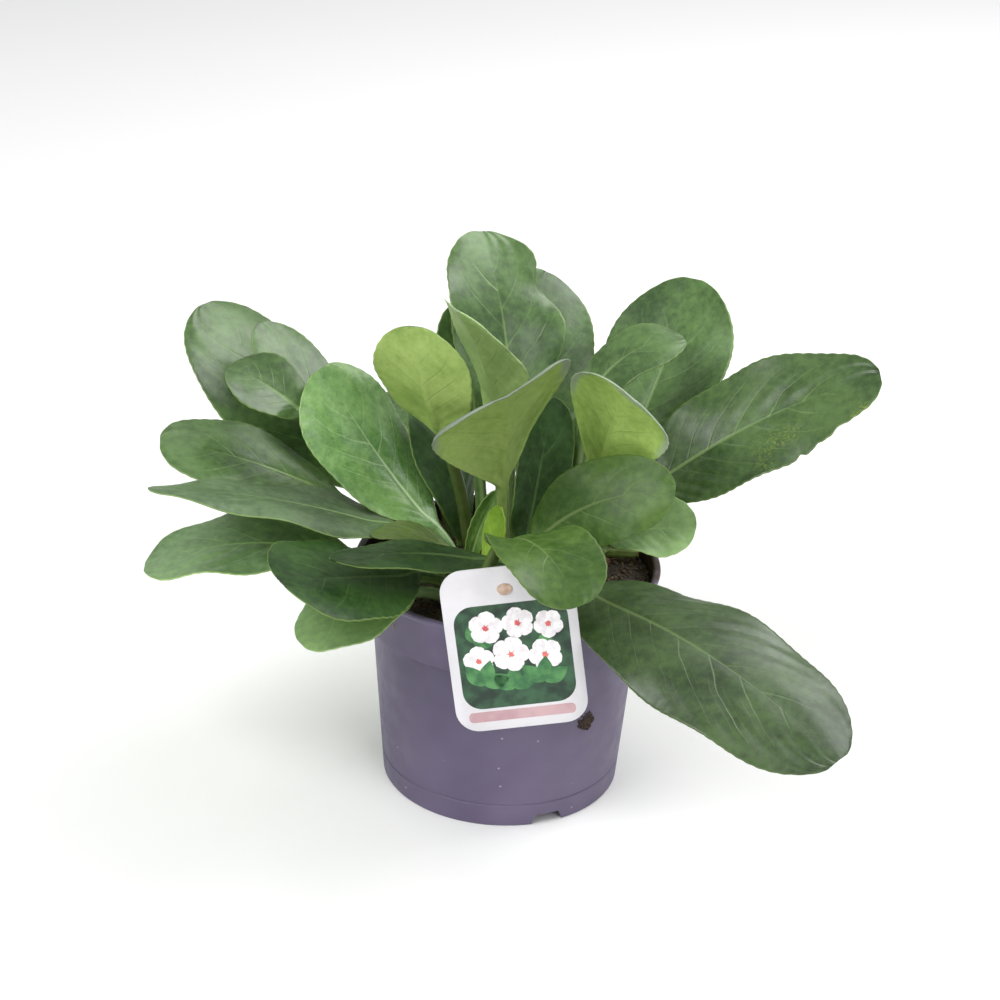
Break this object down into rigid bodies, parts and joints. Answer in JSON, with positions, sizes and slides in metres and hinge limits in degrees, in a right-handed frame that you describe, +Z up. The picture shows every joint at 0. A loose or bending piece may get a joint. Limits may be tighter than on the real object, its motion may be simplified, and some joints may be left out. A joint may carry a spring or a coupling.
{
  "type": "potted bergenia plant",
  "caption": "Bergenia plant in a round nursery pot: large leathery spoon-shaped leaves on short stalks from knobbly rootstock ends in dark soil, with a picture card leaning on the rim.",
  "frame": {"origin": "centre of the pot's underside, in the plane it stands on", "axes": "+Z up along the pot's axis, the plant card faces -Y, +X to the right seen from the card's side; the leaves reach farthest along X"},
  "size_m": [0.3504, 0.2958, 0.2553],
  "materials": {
    "pot": "satin moulded plastic with specks of soil",
    "soil": "dark fibrous potting compost",
    "card": "printed plastic card, satin",
    "petiole": "light olive stalk end",
    "rootstock": "brown scaly rootstock",
    "leaf_green": "leathery upper side, grey-green sheen",
    "leaf_dark": "leathery upper side in shade",
    "leaf_glossy": "glossy mid-green upper side",
    "leaf_light": "light green upper side",
    "leaf_grey": "grey-green corrugated upper side",
    "leaf_underside": "matt yellow-green underside",
    "leaf_young": "bright young leaf"
  },
  "bodies": {
    "root": {"pot": "pot", "soil": "soil", "plant_card": "card", "petiole_stub": "petiole", "crown_front": "rootstock", "crown_left": "rootstock", "crown_right": "rootstock", "crown_back": "rootstock", "leaf_left_upper_large": "leaf_green", "leaf_left_upper_narrow": "leaf_green", "leaf_left_upper_small": "leaf_green", "leaf_left_middle": "leaf_green", "leaf_left_long_flat": "leaf_grey", "leaf_left_drooping": "leaf_grey", "leaf_left_front_wide": "leaf_dark", "leaf_left_front_narrow": "leaf_dark", "leaf_left_front_low": "leaf_light", "leaf_left_glossy": "leaf_glossy", "leaf_centre_left_pale": "leaf_underside", "leaf_centre_left_dark": "leaf_dark", "leaf_back_tall": "leaf_green", "leaf_back_beside_tall": "leaf_green", "leaf_back_sliver": "leaf_green", "leaf_back_folded_pale": "leaf_underside", "leaf_front_cupped": "leaf_underside", "leaf_right_cupped": "leaf_underside", "leaf_right_back_narrow": "leaf_green", "leaf_right_front": "leaf_light", "leaf_right_back_round": "leaf_green", "leaf_right_large": "leaf_green", "leaf_right_small": "leaf_light", "leaf_right_drooping": "leaf_green", "leaf_front_over_card": "leaf_light", "leaf_centre_dark": "leaf_dark", "leaf_young_folded": "leaf_light", "leaf_young_pale": "leaf_young", "leaf_young_left": "leaf_underside", "leaf_rear_left": "leaf_green", "leaf_rear_middle": "leaf_green", "leaf_rear_right": "leaf_green", "leaf_rear_far_right": "leaf_green", "leaf_rear_far_left": "leaf_green"}
  },
  "joints": []
}
